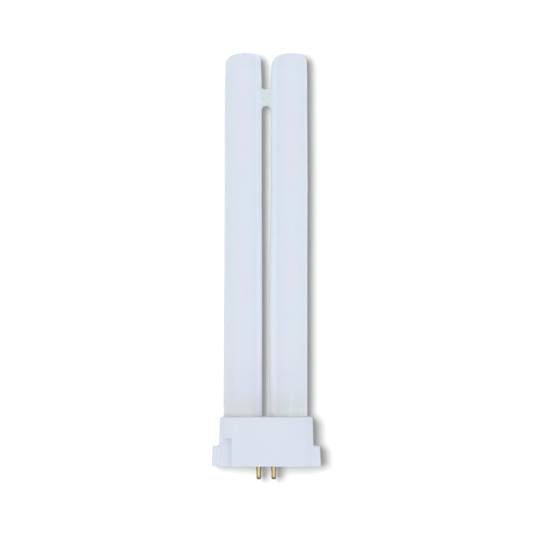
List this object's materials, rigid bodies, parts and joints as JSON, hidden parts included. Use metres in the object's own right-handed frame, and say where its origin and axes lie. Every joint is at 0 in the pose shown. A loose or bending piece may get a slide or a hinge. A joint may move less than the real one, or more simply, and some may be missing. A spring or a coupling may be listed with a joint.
{
  "type": "four pin compact fluorescent lamp",
  "caption": "Plug-in compact fluorescent lamp: straight white-coated glass tubes joined by a bridge, cemented in a moulded base with side ears, a keyway and brass contact pins.",
  "frame": {"origin": "on the surface that the lamp lies on, under the middle of its box", "axes": "+X to the right seen from the front, +Y along the tubes from the pins to the domed ends, +Z out of the front of the base, which has the keyway"},
  "size_m": [0.0576, 0.225, 0.026],
  "materials": {
    "coated_glass": "smooth glass with a white phosphor coat on its inside, unlit",
    "base_plastic": "satin moulded white plastic",
    "pin_brass": "bright brass",
    "lead_metal": "plain wire",
    "cement": "matt cement"
  },
  "bodies": {
    "root": {"base_housing": "base_plastic", "contact_pin_front_left": "pin_brass", "contact_pin_front_right": "pin_brass", "contact_pin_rear_left": "pin_brass", "contact_pin_rear_right": "pin_brass", "glass_tube": "coated_glass", "lead_wire_front_left": "lead_metal", "lead_wire_front_right": "lead_metal", "lead_wire_rear_left": "lead_metal", "lead_wire_rear_right": "lead_metal", "pin_plate": "base_plastic", "tube_cement_left": "cement", "tube_cement_right": "cement"}
  },
  "joints": []
}
